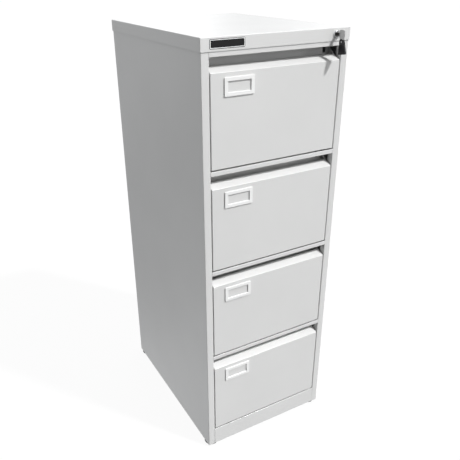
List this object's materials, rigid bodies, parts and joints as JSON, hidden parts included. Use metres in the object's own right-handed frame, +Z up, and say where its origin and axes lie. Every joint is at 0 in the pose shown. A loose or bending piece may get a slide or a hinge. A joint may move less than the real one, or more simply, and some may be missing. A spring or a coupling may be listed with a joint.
{
  "type": "metal filing cabinet",
  "caption": "Tall light-grey steel filing cabinet with full-width drawers on telescopic runners, sloping lip handles, label holders, and a cam lock with a folding key.",
  "frame": {"origin": "on the floor, at the middle of the cabinet's footprint", "axes": "+X to the cabinet's right as one faces it, +Y to its back, +Z up; the drawers open towards -Y"},
  "size_m": [0.46, 0.6624, 1.321],
  "materials": {
    "grey_paint": "semi-gloss powder coat, very light grey",
    "zinc_steel": "bright zinc plate",
    "chrome": "polished plate",
    "black_plastic": "moulded, slightly glossy",
    "black_glide": "moulded, dull"
  },
  "bodies": {
    "carcass": {"left_side_panel": "grey_paint", "right_side_panel": "grey_paint", "back_panel": "grey_paint", "top_cap": "grey_paint", "top_rail": "grey_paint", "cross_rails": "grey_paint", "plinth": "grey_paint", "base_tray": "grey_paint", "feet": "black_glide", "front_uprights": "zinc_steel", "rear_uprights": "zinc_steel", "badge": "black_plastic", "outer_runners_1": "zinc_steel", "outer_runners_2": "zinc_steel", "outer_runners_3": "zinc_steel", "outer_runners_4": "zinc_steel", "runner_rivets": "zinc_steel", "lock_barrel": "chrome", "lock_clip": "zinc_steel", "lock_bar_guides": "zinc_steel"},
    "drawer_1": {"drawer_1_front": "grey_paint", "drawer_1_handle_channel": "grey_paint", "drawer_1_tub": "grey_paint", "drawer_1_back": "grey_paint", "drawer_1_label_holder": "grey_paint", "drawer_1_catch": "zinc_steel", "inner_runners_1": "zinc_steel"},
    "runners_1": {"middle_runners_1": "zinc_steel"},
    "drawer_2": {"drawer_2_front": "grey_paint", "drawer_2_handle_channel": "grey_paint", "drawer_2_tub": "grey_paint", "drawer_2_back": "grey_paint", "drawer_2_label_holder": "grey_paint", "drawer_2_catch": "zinc_steel", "inner_runners_2": "zinc_steel"},
    "runners_2": {"middle_runners_2": "zinc_steel"},
    "drawer_3": {"drawer_3_front": "grey_paint", "drawer_3_handle_channel": "grey_paint", "drawer_3_tub": "grey_paint", "drawer_3_back": "grey_paint", "drawer_3_label_holder": "grey_paint", "drawer_3_catch": "zinc_steel", "inner_runners_3": "zinc_steel"},
    "runners_3": {"middle_runners_3": "zinc_steel"},
    "drawer_4": {"drawer_4_front": "grey_paint", "drawer_4_handle_channel": "grey_paint", "drawer_4_tub": "grey_paint", "drawer_4_back": "grey_paint", "drawer_4_label_holder": "grey_paint", "drawer_4_catch": "zinc_steel", "inner_runners_4": "zinc_steel"},
    "runners_4": {"middle_runners_4": "zinc_steel"},
    "lock_plug": {"lock_plug": "chrome", "lock_cam": "zinc_steel"},
    "lock_bar": {"lock_bar": "zinc_steel", "lock_hooks": "zinc_steel", "lock_arm": "zinc_steel"},
    "key_blade": {"key_blade": "chrome"},
    "key_head": {"key_head": "black_plastic", "key_pin": "chrome"}
  },
  "joints": [
    {"name": "drawer_1_slide", "type": "slide", "parent": "carcass", "child": "drawer_1", "axis": [0, -1, 0], "range_m": [0, 0.52]},
    {"name": "drawer_2_slide", "type": "slide", "parent": "carcass", "child": "drawer_2", "axis": [0, -1, 0], "range_m": [0, 0.52]},
    {"name": "drawer_3_slide", "type": "slide", "parent": "carcass", "child": "drawer_3", "axis": [0, -1, 0], "range_m": [0, 0.52]},
    {"name": "drawer_4_slide", "type": "slide", "parent": "carcass", "child": "drawer_4", "axis": [0, -1, 0], "range_m": [0, 0.52]},
    {"name": "runners_1_slide", "type": "slide", "parent": "carcass", "child": "runners_1", "axis": [0, -1, 0], "range_m": [0, 0.26]},
    {"name": "runners_2_slide", "type": "slide", "parent": "carcass", "child": "runners_2", "axis": [0, -1, 0], "range_m": [0, 0.26]},
    {"name": "runners_3_slide", "type": "slide", "parent": "carcass", "child": "runners_3", "axis": [0, -1, 0], "range_m": [0, 0.26]},
    {"name": "runners_4_slide", "type": "slide", "parent": "carcass", "child": "runners_4", "axis": [0, -1, 0], "range_m": [0, 0.26]},
    {"name": "lock_turn", "type": "hinge", "parent": "carcass", "child": "lock_plug", "pos_m": [0.183, -0.3135, 1.304], "axis": [0, -1, 0], "range_deg": [0, 90]},
    {"name": "lock_bar_lift", "type": "slide", "parent": "carcass", "child": "lock_bar", "axis": [0, 0, 1], "range_m": [0, 0.01202]},
    {"name": "key_slide", "type": "slide", "parent": "lock_plug", "child": "key_blade", "axis": [0, -1, 0], "range_m": [0, 0.03]},
    {"name": "key_fold", "type": "hinge", "parent": "key_blade", "child": "key_head", "pos_m": [0.183, -0.333, 1.2865], "axis": [-1, 0, 0], "range_deg": [-16, 82]}
  ],
  "couplings": [
    {"joint": "runners_1_slide", "follows": "drawer_1_slide", "ratio": 0.5},
    {"joint": "runners_2_slide", "follows": "drawer_2_slide", "ratio": 0.5},
    {"joint": "runners_3_slide", "follows": "drawer_3_slide", "ratio": 0.5},
    {"joint": "runners_4_slide", "follows": "drawer_4_slide", "ratio": 0.5},
    {"joint": "lock_turn", "follows": "lock_bar_lift", "rad_per_m": 130.67}
  ]
}
